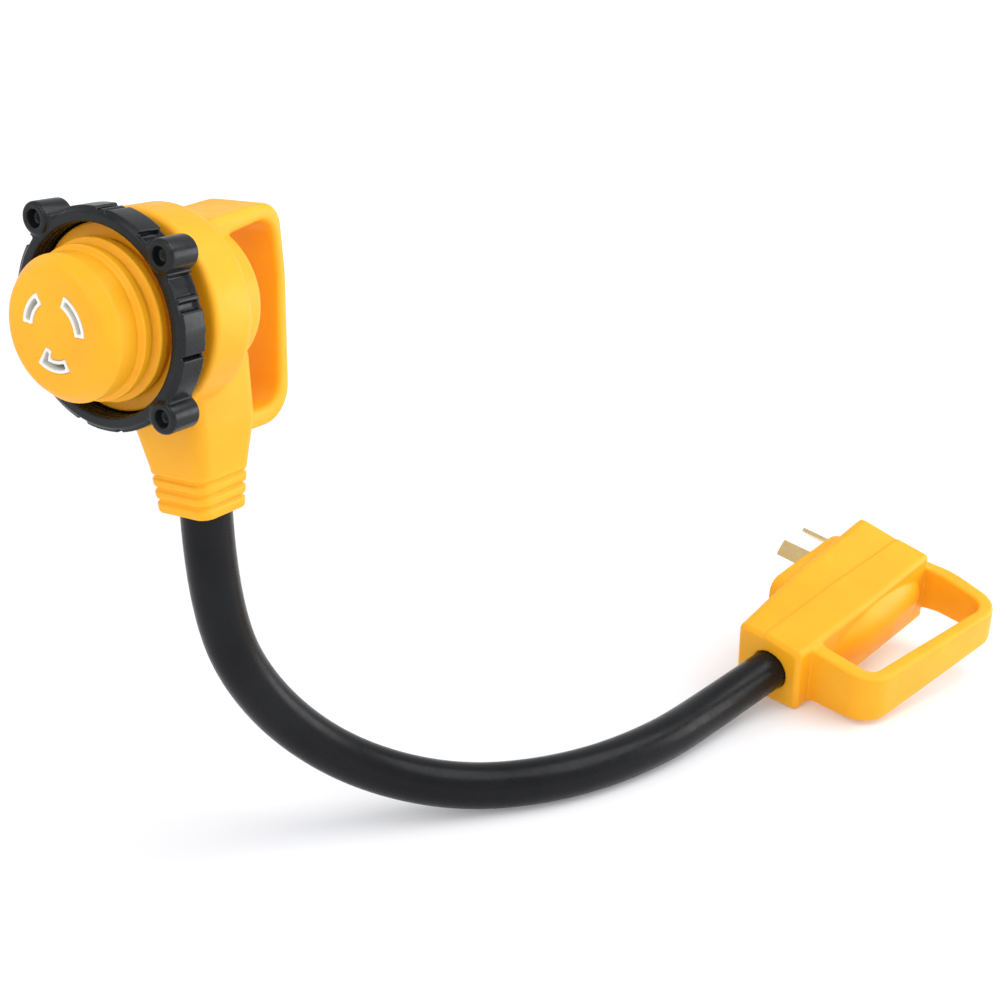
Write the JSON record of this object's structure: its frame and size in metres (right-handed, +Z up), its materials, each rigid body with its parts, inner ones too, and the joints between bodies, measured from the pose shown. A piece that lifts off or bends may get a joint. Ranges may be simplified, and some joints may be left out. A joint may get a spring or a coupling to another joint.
{
  "type": "power adapter cord",
  "caption": "Short right-angle power adapter: a twist-lock socket head with a threaded locking ring, a stiff round cord and a flat-blade plug, each end with a D-shaped pull handle.",
  "frame": {"origin": "bottom centre of the head and plug (the cord left out), on the surface that the object lies on", "axes": "-Y is the way the socket face looks; +Z up; the plug lies towards +Y"},
  "size_m": [0.2332, 0.3704, 0.2359],
  "materials": {
    "amber_housing": "satin moulded",
    "ring_black": "satin moulded",
    "jacket_black": "smooth, slightly glossy",
    "carrier_white": "moulded",
    "bridge_grey": "moulded",
    "brass": "bare, lightly worn",
    "wire_black": "insulation",
    "wire_white": "insulation",
    "wire_green": "insulation"
  },
  "bodies": {
    "adapter": {"head_housing": "amber_housing", "head_grip": "amber_housing", "head_strain_relief": "amber_housing", "socket_barrel": "amber_housing", "plug_housing": "amber_housing", "plug_grip": "amber_housing", "contact_carrier": "carrier_white", "cord": "jacket_black", "cord_end_in_head": "jacket_black", "cord_end_in_plug": "jacket_black", "blade_bridge": "bridge_grey", "hot_blade": "brass", "neutral_blade": "brass", "ground_pin": "brass", "socket_contact_hot": "brass", "socket_contact_neutral": "brass", "socket_contact_ground": "brass", "head_wire_hot": "wire_black", "head_wire_neutral": "wire_white", "head_wire_ground": "wire_green", "plug_wire_hot": "wire_black", "plug_wire_neutral": "wire_white", "plug_wire_ground": "wire_green"},
    "washer": {"slip_washer": "amber_housing"},
    "ring": {"locking_ring": "ring_black"}
  },
  "joints": [
    {"name": "ring_slide", "type": "slide", "parent": "adapter", "child": "washer", "axis": [0, -1, 0], "range_m": [0, 0.002]},
    {"name": "ring_spin", "type": "hinge", "parent": "washer", "child": "ring", "pos_m": [-0.08263, -0.16182, 0.202], "axis": [0, -1, 0], "continuous": true}
  ]
}
